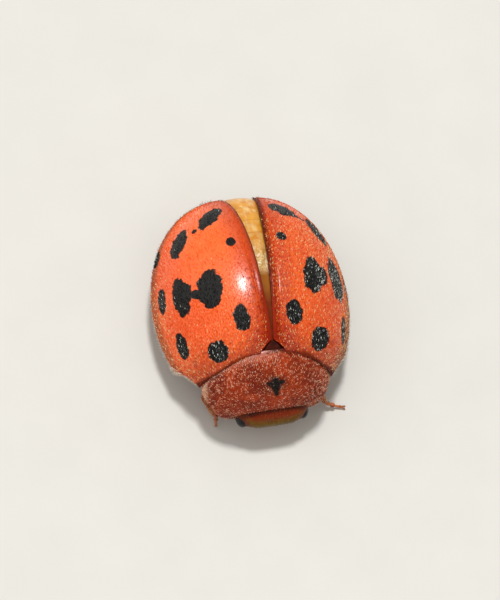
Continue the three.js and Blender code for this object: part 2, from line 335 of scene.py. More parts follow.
def smooth_row(knots, count):
    """A row of count points on a smooth bend through all the knots, closer at both ends."""
    knots = np.vstack([2 * knots[0] - knots[1], knots, 2 * knots[-1] - knots[-2]])
    share = (1 - np.cos(np.linspace(0, math.pi, count))) / 2 * (len(knots) - 3)
    first = np.minimum(share.astype(int), len(knots) - 4)
    t = (share - first)[:, None]
    a, b, c, d = (knots[first + k] for k in range(4))
    return 0.5 * (2 * b + (c - a) * t + (2 * a - 5 * b + 4 * c - d) * t ** 2
                  + (3 * b - a - 3 * c + d) * t ** 3)


def limb(name, path, across, high=None, around=14, stations=18):
    """A round-ended stretch of limb bent through points, with its half widths at each."""
    knots = np.column_stack([path, across, across if high is None else high]).astype(float)
    row = smooth_row(knots, stations)
    path, widths = row[:, :3], np.maximum(row[:, 3:], 0.001)
    piece = begin(name, bpy.ops.mesh.primitive_cylinder_add, vertices=around,
                  radius=1, depth=1, location=(0, 0, 0.5), end_fill_type="TRIFAN")
    edit(piece)
    for k in range(1, stations - 1):
        bpy.ops.mesh.select_all(action="SELECT")
        bpy.ops.mesh.bisect(plane_co=(0, 0, k / (stations - 1)), plane_no=(0, 0, 1))
    bpy.ops.object.mode_set(mode="OBJECT")
    straight = points_of(piece)
    station = np.rint(straight[:, 2] * (stations - 1)).astype(int)
    way = way_along(path)
    to_end = np.minimum(way, way[-1] - way)[:, None] / widths
    widths = widths * np.sqrt(1 - np.square(1 - np.clip(to_end, 0.02, 1)))
    heading = np.gradient(path, axis=0)
    heading /= np.linalg.norm(heading, axis=1)[:, None]
    sideways = np.cross([0.0, 0.0, 1.0], heading)
    sideways /= np.maximum(np.linalg.norm(sideways, axis=1), 1e-6)[:, None]
    upward = np.cross(heading, sideways)
    places = (path[station]
              + straight[:, :1] * widths[station, :1] * sideways[station]
              + straight[:, 1:2] * widths[station, 1:] * upward[station])
    lay_flat(piece, unrolled(straight[:, 0], straight[:, 1], straight[:, 2]))
    move(piece, places)
    return piece


def joined(name, pieces):
    """One piece out of several that belong together."""
    only(pieces[0])
    for piece in pieces:
        piece.select_set(True)
    if len(pieces) > 1:
        bpy.ops.object.join()
    whole = bpy.context.object
    whole.name = whole.data.name = name
    return whole


# ---- Down ----

# Real down is about 0.004 mm thick, too thin to show, so its hairs are made two or three times as
# thick, and fewer.
ROOT_TRIES = 8
HAIR_CORNERS = 7
HAIR_PATCH = 0.003


def fan(corners):
    """A face's triangles, the same in every run, although its first corner isn't."""
    first = list(corners).index(min(corners))
    ring = [*corners[first:], *corners[:first]]
    return [(ring[0], *pair) for pair in zip(ring[1:-1], ring[2:])]


class Bed:
    """The skin that a coat grows from: its corners, normals, triangles and unwrap.

    Skins that share a coat take one shelf each of the unwrap.
    """

    def __init__(self, piece, shelf=0, shelves=1):
        mesh = piece.data
        self.places = points_of(piece)
        self.faces = np.array(sorted(
            part for face in mesh.polygons for part in fan(face.vertices)
        ))
        corners = self.places[self.faces]
        self.slants = np.cross(corners[:, 1] - corners[:, 0], corners[:, 2] - corners[:, 0])
        self.normals = np.zeros_like(self.places)
        for corner in self.faces.T:
            np.add.at(self.normals, corner, self.slants)
        self.normals /= np.linalg.norm(self.normals, axis=1)[:, None]
        flat = np.empty(2 * len(mesh.vertices), np.float32)
        mesh.attributes["unwrap"].data.foreach_get("vector", flat)
        self.flat = (flat.reshape(-1, 2).astype(float) + [shelf, 0]) / [shelves, 1]

    def roots(self, spacing, seed, keep=None):
        """Where hairs grow: scattered places about a spacing apart, their normals and unwrap."""
        random = np.random.default_rng(seed)
        area = np.linalg.norm(self.slants, axis=1) / 2
        count = int(ROOT_TRIES * area.sum() / spacing ** 2)
        face = random.choice(len(area), size=count, p=area / area.sum())
        weights = random.dirichlet((1, 1, 1), size=count)
        places, normals, flat = (
            (values[self.faces[face]] * weights[:, :, None]).sum(axis=1)
            for values in (self.places, self.normals, self.flat)
        )
        cells = np.floor(places / spacing).astype(int)
        _, chosen = np.unique(cells, axis=0, return_index=True)
        if keep is not None:
            wanted = random.random(len(chosen)) < keep(places[chosen], normals[chosen])
            chosen = chosen[wanted]
        normals = normals[chosen] / np.linalg.norm(normals[chosen], axis=1)[:, None]
        return places[chosen], normals, flat[chosen]


def hairs(name, roots, lie, length, width, lift, seed):
    """A coat of tapered hairs, each a closed spike bent along the lie of the coat.

    Each hair has a random shine from 0 to 1, by which its material picks which hairs it paints as
    glints and which darker.
    """
    places, normals, flat = roots
    count = len(places)
    random = np.random.default_rng(seed)
    heading = lie(places, normals) + 0.2 * random.normal(size=(count, 3))
    heading -= (heading * normals).sum(axis=1)[:, None] * normals
    heading /= np.linalg.norm(heading, axis=1)[:, None]
    beside = np.cross(normals, heading)
    length = length * random.uniform(0.7, 1.25, size=count)[:, None]
    rise = np.radians(lift) * random.uniform(0.6, 1.5, size=count)[:, None]
    first = heading * np.cos(rise * 1.4) + normals * np.sin(rise * 1.4)
    second = heading * np.cos(rise * 0.5) + normals * np.sin(rise * 0.5)
    middle = places + first * length * 0.5
    tip = middle + second * length * 0.5
    root = places - normals * width
    girth = []
    width = width * random.uniform(0.75, 1.35, size=count)[:, None]
    for k in range(3):
        turn = 2 * math.pi * k / 3 + math.pi / 2
        girth.append((beside * math.cos(turn) + 0.5 * normals * math.sin(turn)) * width / 2)
    corners = [root + g for g in girth] + [middle + 0.75 * g for g in girth] + [tip]
    verts = np.stack(corners, axis=1).reshape(-1, 3)
    spike = [(2, 1, 0)]
    for k in range(3):
        after = (k + 1) % 3
        spike += [(k, after, 3 + after), (k, 3 + after, 3 + k), (3 + k, 3 + after, 6)]
    starts = HAIR_CORNERS * np.arange(count)
    faces = (np.array(spike)[None] + starts[:, None, None]).reshape(-1, 3)
    mesh = bpy.data.meshes.new(name)
    mesh.from_pydata(verts.tolist(), [], faces.tolist())
    piece = bpy.data.objects.new(name, mesh)
    bpy.context.scene.collection.objects.link(piece)
    petal = 2 * math.pi * np.arange(HAIR_CORNERS) / HAIR_CORNERS
    patch = HAIR_PATCH / 2 * np.stack([np.cos(petal), np.sin(petal)], axis=1)
    patch[-1] = 0.0
    spread = (flat[:, None] + patch[None]).reshape(-1, 2)
    bake = mesh.uv_layers.new(name="OFBake")
    bake.data.foreach_set("uv", spread[faces.ravel()].astype(np.float32).ravel())
    shine = mesh.attributes.new("shine", "FLOAT", "POINT")
    shines = np.repeat(random.random(count), HAIR_CORNERS)
    shine.data.foreach_set("value", shines.astype(np.float32))
    return piece


def coat(name, bed, material, lie, spacing, seeds, length, width, lift, keep=None):
    """Grows down on a bed, as a piece of its own."""
    roots = bed.roots(spacing, seeds[0], keep)
    piece = hairs(name, roots, lie, length, width, lift, seeds[1])
    finished(piece, material, "down", smooth=180)


# ---- Materials ----

CHITIN_IOR = 1.55

# How far out the edge of a mark lies, as a share of its half length and half width.
MARK_EDGE = 0.99

# A MapRange node with this is a smooth step: 0 at the first number, and 1 at the second.
SMOOTH = {"interpolation_type": "SMOOTHSTEP"}

# Patterns have their sizes in millimetres. Real pits and grain of chitin are 0.01 to 0.02 mm
# across, too fine to show, so they are drawn two to four times as coarse.


def paint(code):
    """An sRGB hex colour as linear light."""
    parts = [int(code[k:k + 2], 16) / 255 for k in (1, 3, 5)]
    linear = [p / 12.92 if p <= 0.04045 else ((p + 0.055) / 1.055) ** 2.4 for p in parts]
    return (*linear, 1.0)


def add(tree, kind, *values, inputs=None, output=0, **settings):
    """Adds a node, sets it up, links or fills its inputs, and gives one of its outputs.

    Values fill the inputs in their order, and inputs= names others. A hex string is a colour.
    """
    made = tree.nodes.new("ShaderNode" + kind)
    for name, value in settings.items():
        setattr(made, name, value)
    for name, value in {**dict(enumerate(values)), **(inputs or {})}.items():
        if isinstance(value, Field):
            tree.links.new(value.socket, made.inputs[name])
        else:
            made.inputs[name].default_value = paint(value) if isinstance(value, str) else value
    return Field(tree, made.outputs[output]) if made.outputs else None


class Field:
    """What a material works out at every place: a value, which sums take like a number, a
    colour, or a place, which unpacks into how far out, back and up it lies."""

    def __init__(self, tree, socket):
        self.tree, self.socket = tree, socket

    def into(self, kind, *values, **more):
        """Adds a node with this as its first input."""
        return add(self.tree, kind, self, *values, **more)

    def __add__(self, other):
        return self.into("Math", other, operation="ADD")

    def __sub__(self, other):
        return self.into("Math", other, operation="SUBTRACT")

    def __mul__(self, other):
        return self.into("Math", other, operation="MULTIPLY")

    def __or__(self, other):
        return self.into("Math", other, operation="MAXIMUM")

    def __abs__(self):
        return self.into("Math", operation="ABSOLUTE")

    def __iter__(self):
        parts = self.into("SeparateXYZ").socket.node.outputs
        return (Field(self.tree, part) for part in parts)


def blank(name):
    """An empty material."""
    material = bpy.data.materials.new(name)
    material.use_nodes = True
    material.node_tree.nodes.clear()
    return material


def surface(material, colour, roughness, ior=1.5, shine=0.5, gloss=0.0, gloss_roughness=0.03,
            height=None, depth=0.0):
    """Gives a material its one Principled shader, and a relief depth millimetres deep.

    gloss is how much of a clear coat lies over it.
    """
    tree = material.node_tree
    inputs = {
        "Base Color": colour, "Roughness": roughness, "IOR": ior, "Specular IOR Level": shine,
        "Coat Weight": gloss, "Coat Roughness": gloss_roughness,
    }
    if height is not None:
        inputs["Normal"] = add(tree, "Bump", inputs={"Height": height, "Distance": depth * MM})
    add(tree, "OutputMaterial", add(tree, "BsdfPrincipled", inputs=inputs))
    return material


def home(material, pose=Matrix(), side=LEFT):
    """Places in millimetres in the frame of the closed, unturned piece, outwards as +X."""
    tree = material.node_tree
    origin = Vector((-side * ORIGIN.x / MM, -ORIGIN.y / MM, 0.0))
    back = pose.inverted() @ Matrix.Translation(origin)
    place = add(tree, "TexCoord", output="Object")
    return place.into("Mapping", back.translation, back.to_euler(), (side / MM, 1 / MM, 1 / MM))


def zone(place, **spans):
    """1 well inside a zone and 0 well outside it.

    out=, back= and high= give the two distances between which 0 turns into 1 along each axis.
    """
    amount = None
    for way, part in zip(("out", "back", "high"), place):
        if way in spans:
            share = part.into("MapRange", *spans[way], **SMOOTH)
            amount = amount * share if amount else share
    return amount


def layers(ground, *coats):
    """A ground colour under coats of colour, each with its amount."""
    for amount, colour in coats:
        ground = amount.into("Mix", inputs={6: ground, 7: colour}, output=2, data_type="RGBA")
    return ground


def mottle(place, size, low=0.35, high=0.65, detail=3.0, rough=0.5):
    """Soft patches about size across: 0 where a noise is under low, and 1 where it is over high."""
    noise = {"Scale": 1 / size, "Detail": detail, "Roughness": rough}
    return place.into("TexNoise", inputs=noise).into("MapRange", low, high, **SMOOTH)


def pits(place, size, bottom=0.0, brim=0.45, randomness=1.0):
    """A pit in each cell of a size: 0 where bottom off its middle, and 1 where brim off it."""
    off_middle = place.into("TexVoronoi", inputs={"Scale": 1 / size, "Randomness": randomness})
    return off_middle.into("MapRange", bottom, brim, **SMOOTH)


def patches(place, marks, on, ragged=0.5, blur=0.05):
    """1 inside any of the oval marks and 0 elsewhere, with ragged or blurred edges.

    A mark is how far out and back its centre lies, its half length and half width along the
    surface, and how many degrees its rear end leans outwards. on finds a mark's place and normal.
    """
    nearest = None
    for out_by, back_by, long, wide, lean in marks:
        centre, normal = on(np.array([out_by, back_by]))
        up = Vector(normal).normalized()
        rear = (Vector((0, 1, 0)) - up * up.y).normalized()
        out = rear.cross(up)
        turn = Matrix((out, rear, up)).transposed() @ Matrix.Rotation(-math.radians(lean), 3, "Z")
        oval = place.into("Mapping", centre, turn.to_euler(), (wide, long, 0.5),
                          vector_type="TEXTURE")
        reach = oval.into("VectorMath", output="Value", operation="LENGTH")
        nearest = nearest.into("Math", reach, 0.1, operation="SMOOTH_MIN") if nearest else reach
    wander = place.into("TexNoise", inputs={"Scale": 1 / 0.12, "Detail": 3.0, "Roughness": 0.65})
    edge = (wander - 0.5) * ragged + nearest
    return edge.into("MapRange", MARK_EDGE + blur, MARK_EDGE - blur, **SMOOTH)


def glinting(material, many, ground, shade, warm, bright, dark=0.35):
    """Hair colours with glints painted in: where many is low the hairs keep near the ground colour,
    and where it is high dull hairs take the shade colour and the hairs of most shine the warm and
    bright glint colours.
    """
    shine = add(material.node_tree, "Attribute", output="Fac", attribute_name="shine")
    dull = shine.into("MapRange", dark, dark - 0.2, **SMOOTH)
    dull = (dull * many * 5.0).into("Math", dull, operation="MINIMUM")
    some = (shine + many * 1.8).into("MapRange", 0.95, 1.05, **SMOOTH)
    few = (shine + many * 0.55).into("MapRange", 0.99, 1.01, **SMOOTH)
    return layers(ground, (dull, shade), (some, warm), (few, bright))


def hair(material, colour):
    """Gives hair its satin look, without the gloss that would grey it."""
    return surface(material, colour, roughness=0.4, shine=0.12)


def pale_down(name, colour, bright):
    """Fine pale hair, some of it painted bright as glints."""
    material = blank(name)
    return hair(material, glinting(material, 0.35, colour, colour, bright, bright))


def chitin(name, light, dark, roughness=0.35, cloud=0.2, gloss=0.3, shine=0.3):
    """Plain hardened chitin: mottled between two tones, finely pitted, with a thin gloss."""
    material = blank(name)
    place = home(material)
    worn = place.into("TexNoise", inputs={"Scale": 1 / 0.06})
    grain = place.into("TexNoise", inputs={"Scale": 1 / 0.03})
    return surface(material, layers(dark, (mottle(place, cloud), light)),
                   worn * 0.15 + (roughness - 0.07), CHITIN_IOR, shine, gloss,
                   gloss_roughness=0.15, height=grain, depth=0.003)


# ---- Wing cases ----

SEAM = 0.012
SEAM_OVERLAP = 0.032
TIP_START_Y = 1.72
SCUTELLUM_ROOM = 0.175
WING_CASE_WALL = 0.045
FOOT_RISE = 0.09


def inside_dome(plan):
    """Pulls plan points from outside the dome's foot back to it, and in front a little above."""
    spread = np.hypot(plan[:, 0] / DOME_RADII[0], (plan[:, 1] - DOME_CENTRE[1]) / DOME_RADII[1])
    limit = 1 - 0.016 * ease(-plan[:, 1], 0.8, 1.3)
    return DOME_CENTRE[:2] + (plan - DOME_CENTRE[:2]) / np.maximum(spread / limit, 1)[:, None]


def inner_edge(y):
    """How far out the inner edge lies: beside the scutellum, along the seam, round the tip."""
    beside = SCUTELLUM_ROOM * np.clip((SCUTELLUM_TIP_Y - y) / 0.16, 0, 1)
    touching = SEAM_OVERLAP * ease(-y, -0.3, -SCUTELLUM_TIP_Y)
    return SEAM - touching + beside + 0.1 * np.square(np.clip((y - TIP_START_Y) / 0.25, 0, None))


def dome_height(x, y, sunk=0.0):
    """How high the dome stands over a place, when it is drawn in by a depth."""
    radii = DOME_RADII - sunk
    spread = np.hypot(x / radii[0], (y - DOME_CENTRE[1]) / radii[1])
    return DOME_CENTRE[2] + radii[2] * np.sqrt(1 - np.minimum(spread, 1) ** 2)


def wing_case_surface(plan):
    """The dome, with a thin flange flared out round its foot, a shoulder and a rimmed seam."""
    x, y = plan[..., 0], plan[..., 1] - DOME_CENTRE[1]
    spread = np.minimum(np.hypot(x / DOME_RADII[0], y / DOME_RADII[1]) / 0.999, 1)
    rise = DOME_RADII[2] * np.sqrt(1 - spread ** 2)
    above = ease(rise, 0.0, 0.17)
    x, y = x * (1 - 0.03 * above), y * (1 - 0.012 * above) + DOME_CENTRE[1]
    z = DOME_CENTRE[2] + rise * (0.35 + 0.65 * above)
    z = z + FOOT_RISE * (np.square(y / DOME_RADII[1]) - 0.5) * (1 - above)
    base = DOME_BASE_Y + 0.06 - 0.15 * ease(x, 0.3, 1.0)
    z = z - 0.1 * np.square(np.clip((base - y) / 0.08, 0, 1))
    shoulder = 0.035 * bump((x - 1.02) / 0.16, (y + 0.66) / 0.2)
    seam = x - inner_edge(y)
    rim = 0.008 * bump((seam - 0.045) / 0.03) - 0.014 * bump((seam - 0.115) / 0.016)
    dip = 0.012 * bump((x - 0.72) / 0.12, (y + 0.8) / 0.1)
    return np.stack([x + shoulder * 0.7, y, z + shoulder + rim - dip], axis=-1)


WING_CASE_OUTLINE = outline_from(
    (SCUTELLUM_ROOM, DOME_BASE_Y),
    [((0.4, DOME_BASE_Y), (0.62, DOME_BASE_Y - 0.05)),
     ((0.78, DOME_BASE_Y - 0.12), (0.89, DOME_BASE_Y - 0.12)),
     ((0.97, DOME_BASE_Y - 0.13), (1.03, -1.24)),
     ((1.31, -0.98), (1.44, -0.55)),
     ((1.8, -0.5), (2.2, -0.4)),
     ((2.2, 1.0), (2.2, 2.4)),
     ((1.2, 2.4), (0.1, 2.4)),
     ((SEAM, 2.0), (SEAM, TIP_START_Y)),
     ((SEAM, 0.9), (SEAM, 0.2)),
     ((SEAM, -0.3), (SEAM - SEAM_OVERLAP, SCUTELLUM_TIP_Y)),
     ((0.1, -0.9), (SCUTELLUM_ROOM, -0.99)),
     ((SCUTELLUM_ROOM, -1.01), (SCUTELLUM_ROOM, DOME_BASE_Y))],
    spokes=224, soften=0.06, within=inside_dome,
)
WING_CASE_POLE = (0.66, 0.3)
HEM_CENTRE = (0.2, 0.3, 0)


def wing_case(label, side, material):
    """A domed shell with a turned-in hem along its foot, and a wall along the seam."""
    piece = plate(f"wing_case_{label}", WING_CASE_OUTLINE, WING_CASE_POLE, wing_case_surface,
                  rings_to_rim(30, 0.8, 19))
    pick(piece, "EDGE", lambda p: p[0] < inner_edge(p[1]) + 0.02 and p[1] < 1.85 and p[2] > 1,
         rim=True)
    hem(-0.06)
    pick(piece, "EDGE", lambda p: p[2] < 0.75, rim=True)
    hem(-0.028, 0.965, 0.975, HEM_CENTRE)
    hem(0.012, 0.93, 0.95, HEM_CENTRE)
    bpy.ops.object.mode_set(mode="OBJECT")
    posed(piece, WING_CASE_POSE, side)
    bed = Bed(piece)
    apply(piece, "SOLIDIFY", thickness=WING_CASE_WALL, offset=-1, use_even_offset=False)
    finished(piece, material, "wing_case_cuticle", f"elytron_{label}", smooth=50)
    return bed


# Spots, as marks that patches() takes.
LEFT_SPOTS = [
    (0.79, -0.79, 0.205, 0.19, 0),
    (1.25, -0.52, 0.23, 0.13, -20),
    (0.37, -0.42, 0.20, 0.145, -7),
    (0.78, 0.24, 0.33, 0.205, 12),
    (0.93, 0.26, 0.17, 0.13, 8),
    (1.2, 0.27, 0.37, 0.225, -8),
    (1.385, 0.33, 0.21, 0.12, 0),
    (0.30, 0.93, 0.09, 0.08, -43),
    (0.97, 1.17, 0.28, 0.19, -12),
    (1.19, 1.13, 0.18, 0.13, 30),
    (0.42, 1.53, 0.26, 0.17, -45),
    (0.60, 1.42, 0.12, 0.055, -60),
    (0.72, 1.36, 0.08, 0.03, -60),
]
RIGHT_SPOTS = [
    (0.82, -0.84, 0.19, 0.175, 0),
    (1.25, -0.55, 0.22, 0.135, -3),
    (0.44, -0.43, 0.22, 0.135, 6),
    (0.835, 0.17, 0.335, 0.22, -2),
    (0.84, 0.02, 0.20, 0.14, 20),
    (1.03, 0.15, 0.11, 0.085, 75),
    (1.215, 0.2, 0.35, 0.165, 6),
    (1.16, 0.24, 0.2, 0.15, 0),
    (1.38, 0.32, 0.22, 0.125, 0),
    (0.34, 0.90, 0.09, 0.08, 0),
    (1.01, 1.16, 0.27, 0.18, -10),
    (1.20, 1.15, 0.18, 0.12, 30),
    (0.47, 1.49, 0.29, 0.155, -33),
    (0.76, 1.29, 0.05, 0.05, 0),
]


def on_dome(plan):
    """Where a plan point lies on a wing case, and the normal there."""
    place = wing_case_surface(plan)
    return place, (place - DOME_CENTRE) / DOME_RADII ** 2


def wing_case_pattern(material, side, spots):
    """Place, ground colour, spots and the painted shadow at the front edge, shared by skin and
    down.
    """
    place = home(material, WING_CASE_POSE, side)
    _, back, _ = place
    spotted = patches(place, spots, on_dome, ragged=0.8)
    # The flange round the foot has a browner red of its own, drawn darker still as painted shade
    # low on the flanks.
    foot = zone(place, high=(0.72, 0.54))
    beside_seam = zone(place, out=(0.5, 0.1))
    corner = zone(place, out=(0.5, 0.15), back=(-0.5, -0.8))
    seam_strip = zone(place, out=(0.13, 0.05))
    fore_strip = zone(place, back=(0.35, 0.0))
    lip = zone(place, out=(0.05, 0.02), back=(-0.4, 0.2))
    # Painted shade: a darker red band along the front of the wing case, next to the pronotum.
    base = zone(place, back=(-0.74, -1.06))
    by_seam = zone(place, out=(0.42, 0.16), back=(0.7, 0.1))
    stain = mottle(place, 0.075, 0.5, 0.6, detail=4.0, rough=0.6)
    stain = stain * (zone(place, back=(-0.5, -0.95)) | by_seam)
    # A painted shadow along the front edge, where it tucks under the pronotum: dark maroon, darkest
    # towards the shoulder.
    shoulder = zone(place, out=(0.45, 0.9))
    front_shade = (shoulder * 0.12 + back - DOME_BASE_Y).into("MapRange", 0.08, 0.01, **SMOOTH)
    front_shade_strength = zone(place, out=(0.35, 0.9)) * 0.35 + 0.5
    # The left case's two tones are a little darker than the right's: painted shade on the side away
    # from the lamps.
    dark, light = ("#F85E12", "#FF6A1A") if side == RIGHT else ("#EC5612", "#F6621C")
    strip_colour = "#AE3A12" if side == RIGHT else "#641C0C"
    ground = layers(dark, (mottle(place, 0.9, detail=2.0), light), (foot * 0.85, "#98481F"))
    if side == LEFT:
        shaded = zone(place, high=(1.12, 0.74))
        ground = layers(ground, (shaded * 0.8, "#70482A"))
    ground = layers(
        ground, (beside_seam * 0.55, "#B02A08"), (corner * 0.75, "#A01A04"),
        (seam_strip * 0.85, layers(strip_colour, (fore_strip, "#8A1C08"))),
        (lip * 0.8, "#4A1206"), (base * 0.6, "#A23210"), (stain * 0.65, "#981C04"),
        (front_shade * front_shade_strength, "#44120A"),
    )
    return place, ground, spotted, front_shade


def wing_case_cuticle(label, side, spots):
    """Hardened chitin, glossy under a dull bloom of fine pits: satin with one clear highlight."""
    material = blank(f"chitin_wing_case_{label}")
    place, ground, spotted, front_shade = wing_case_pattern(material, side, spots)
    wall = zone(place, out=(0.15, 0.07))
    if side == RIGHT:
        wall = wall * zone(place, back=(0.1, -0.1))
    rim = zone(place, out=(0.25, 0.1))
    dull = spotted * 0.65 | wall | front_shade | rim * 0.75
    flat_hair = place.into("TexNoise", inputs={"Scale": 1 / 0.03, "Detail": 1.0})
    return surface(material, layers(ground, (spotted, "#060504")), flat_hair * 0.16 + 0.28,
                   CHITIN_IOR, shine=dull * -0.25 + 0.3, gloss=dull * -0.55 + 0.62,
                   gloss_roughness=0.2, height=flat_hair * 0.6 + pits(place, 0.055),
                   depth=0.006)


def wing_case_down(label, side, spots):
    """Fine pale hair, gold over the orange and grey over the spots, with painted glints."""
    material = blank(f"down_wing_case_{label}")
    place, ground, spotted, front_shade = wing_case_pattern(material, side, spots)
    # Where the painted glints gather: at the front of the right case, over all but the tail of the
    # left one, and on the flanks.
    bloom = zone(place, back=(-0.2, -0.8) if side == RIGHT else (1.6, 0.9))
    flank = zone(place, high=(1.1, 0.8), back=(0.9, 0.2))
    fine = mottle(place, 0.055, 0.42, 0.6, detail=1.0) * 0.32 + 0.06
    many = ((bloom | flank) * fine + 0.03) * (front_shade * -0.8 + 1.0)
    shade, warm = "#E04C0C", "#FF8A30"
    # On the left flank the warm glint colour turns tan: a painted sheen.
    if side == LEFT:
        shade, warm = "#C2360A", layers(warm, (flank, "#D8A060"))
    gold = glinting(material, many, ground, shade, warm, "#FFE3A4")
    grey = glinting(material, many * 0.8, "#0C0A09", "#060505", "#6E7470", "#F8FAF0")
    return hair(material, layers(gold, (spotted, grey)))


def rearwards(sway):
    """A lie of the coat towards the tail, swaying outwards and back in along the way."""
    def lie(places, normals):
        out = sway * np.sin(2.2 * places[:, 1]) * np.sign(places[:, 0])
        return np.stack([out, np.ones(len(places)), np.zeros(len(places))], axis=1)
    return lie


def downy(side):
    """How much of the down shows: all in front and on the flanks, little on the smooth back."""
    def keep(places, normals):
        smooth_from = 0.3 if side == RIGHT else 1.6
        fore = ease(-places[:, 1], -smooth_from, 0.6 - smooth_from)
        flank = ease(-places[:, 2], -1.15, -0.9)
        seam_wall = normals[:, 0] * side < -0.5
        seam_rim = (np.abs(places[:, 0]) < 0.09) & (places[:, 1] < 0.4)
        return (0.3 + 0.7 * np.maximum(fore, flank)) * ~(seam_wall | seam_rim)
    return keep


def on_margin(places, normals):
    return places[:, 2] < 0.6 + 0.25 * ease(-places[:, 1], 0.6, 1.15)


def outwards_and_back(places, normals):
    out = places * [1.0, 1.0, 0.0]
    return out / np.linalg.norm(out, axis=1)[:, None] + [0.0, 0.5, -0.3]


FRINGE = pale_down("down_fringe", "#D0AC8C", "#FFF6EC")

for label, side in SIDES.items():
    spots = LEFT_SPOTS if side == LEFT else RIGHT_SPOTS
    bed = wing_case(label, side, wing_case_cuticle(label, side, spots))
    coat(f"down_elytron_{label}", bed, wing_case_down(label, side, spots), rearwards(0.35),
         spacing=0.028, seeds=(11 + side, 21 + side), length=0.052, width=0.0125, lift=12,
         keep=downy(side))
    coat(f"fringe_elytron_{label}", bed, FRINGE, outwards_and_back,
         spacing=0.022, seeds=(13 + side, 23 + side), length=0.085, width=0.01, lift=12,
         keep=on_margin)


# ---- Pronotum ----

SHIELD_FRONT_EDGE_Y = SHIELD_FRONT_Y - 0.025
SHIELD_HIND_EDGE_Y = SHIELD_BASE_Y + 0.11
SHIELD_HIND_BEND = 0.13 / 0.88 ** 2
SHIELD_POLE_Y = -1.36
SHIELD_WALL = 0.04
SHIELD_HALF = [
    ((0.4, SHIELD_FRONT_EDGE_Y), (0.7, SHIELD_FRONT_EDGE_Y + 0.035)),
    ((0.86, SHIELD_FRONT_EDGE_Y + 0.07), (0.965, -1.48)),
    ((1.06, -1.34), (1.075, -1.2)),
    ((1.05, -1.11), (0.88, -1.07)),
    ((0.42, SHIELD_HIND_EDGE_Y), (0.0, SHIELD_HIND_EDGE_Y)),
]


def both_sides(start, curves):
    """The whole closed outline from its half on the left, as outline_from() takes it."""
    ends = [start] + [end for _, end in curves]
    other = [((-c[0], c[1]), (-e[0], e[1]))
             for (c, _), e in zip(reversed(curves), reversed(ends[:-1]))]
    return curves + other


def hind_edge(x):
    """Where the pronotum ends behind: farther ahead towards the sides."""
    return SHIELD_HIND_EDGE_Y - SHIELD_HIND_BEND * np.square(x)


def shield_surface(plan):
    """A shallow saddle-shaped shield with a raised rim behind and turned-up edges at the sides."""
    x, y = plan[..., 0] / SHIELD_RADII[0], (plan[..., 1] - SHIELD_CENTRE[1]) / SHIELD_RADII[1]
    spread = (np.abs(x) ** SHIELD_SQUARENESS + np.abs(y) ** SHIELD_SQUARENESS)
    spread = np.minimum(spread ** (1 / SHIELD_SQUARENESS), 0.995)
    z = SHIELD_CENTRE[2] + SHIELD_RADII[2] * np.sqrt(1 - spread ** 2)
    x, y = plan[..., 0], plan[..., 1]
    ahead = hind_edge(x) - y
    hind_rim = 0.02 * bump((ahead - 0.047) / 0.04)
    roll = 0.05 * np.square(np.clip((0.025 - ahead) / 0.025, 0, 1))
    return np.stack([x, y, z + hind_rim - roll], axis=-1)


SHIELD_OUTLINE = outline_from(
    (0.0, SHIELD_FRONT_EDGE_Y), both_sides((0.0, SHIELD_FRONT_EDGE_Y), SHIELD_HALF),
    spokes=208, soften=0.05,
)


def pronotum(material):
    """A shield with its rim turned down and in, all the way round."""
    piece = plate("shield", SHIELD_OUTLINE, (0.0, SHIELD_POLE_Y), shield_surface,
                  rings_to_rim(24, 0.82, 13))
    pick(piece, "EDGE", lambda p: True, rim=True)
    hem(-0.03, 0.98, 0.98, (0, SHIELD_POLE_Y, 1))
    pick(piece, "EDGE", lambda p: p[2] < 0.93, rim=True)
    hem(-0.09, 0.88, 0.96, (0, SHIELD_POLE_Y, 1))
    bpy.ops.object.mode_set(mode="OBJECT")
    posed(piece, LOOK_POSE)
    bed = Bed(piece)
    apply(piece, "SOLIDIFY", thickness=SHIELD_WALL, offset=-1, use_even_offset=False)
    finished(piece, material, "pronotum_cuticle", "pronotum")
    return bed


def on_shield(plan):
    """Where a plan point lies on the pronotum, and the normal there."""
    place = shield_surface(plan)
    reach = (place - SHIELD_CENTRE) / SHIELD_RADII
    normal = np.sign(reach) * reach ** 2 / SHIELD_RADII
    normal[2] = abs(reach[2]) / SHIELD_RADII[2]
    return place, normal


# Marks on the pronotum, as patches() takes them.
SHIELD_SPOT = [
    (0.0, -1.45, 0.11, 0.1, 0),
    (-0.09, -1.44, 0.045, 0.07, 20),
    (0.09, -1.43, 0.045, 0.06, -10),
    (0.01, -1.52, 0.065, 0.055, 0),
    (0.015, -1.56, 0.05, 0.04, 0),
]
SHIELD_SMOKE = [(0.0, -1.45, 0.17, 0.21, 0)]
SHIELD_PALE = [(-0.38, -1.56, 0.08, 0.13, 0), (0.16, -1.62, 0.04, 0.10, 0)]


def pronotum_pattern(material):
    """Place, ground colour and spot, which skin and down share."""
    place = home(material, LOOK_POSE)
    out, back, _ = place
    spotted = patches(place, SHIELD_SPOT, on_shield, ragged=1.2, blur=0.35)
    smoke = patches(place, SHIELD_SMOKE, on_shield, ragged=1.4, blur=0.3)
    pale = patches(place, SHIELD_PALE, on_shield, ragged=1.1, blur=0.5)
    edge = abs(out).into("MapRange", 0.985, 1.05, **SMOOTH)
    # A painted highlight: pale pink on the hind part of the shield, on the animal's right.
    hind = zone(place, back=(-1.13, -1.04), out=(0.25, -0.1))
    # Painted shade: a dark band along the hind edge on the animal's left, where the pronotum meets
    # the wing cases.
    rim = (back - SHIELD_HIND_EDGE_Y).into("MapRange", -0.1, -0.05, **SMOOTH)
    rim = rim * zone(place, out=(-0.2, 0.05))
    ground = layers(
        "#842408", (mottle(place, 0.5, 0.3, 0.7), "#BC4014"), (smoke * 0.6, "#5E1E0C"),
        (pale * 0.5, "#E0521E"), (edge * 0.8, "#E6BE9C"), (hind * 0.6, "#D87C68"),
        (rim * 0.9, "#44140A"),
    )
    return place, ground, spotted


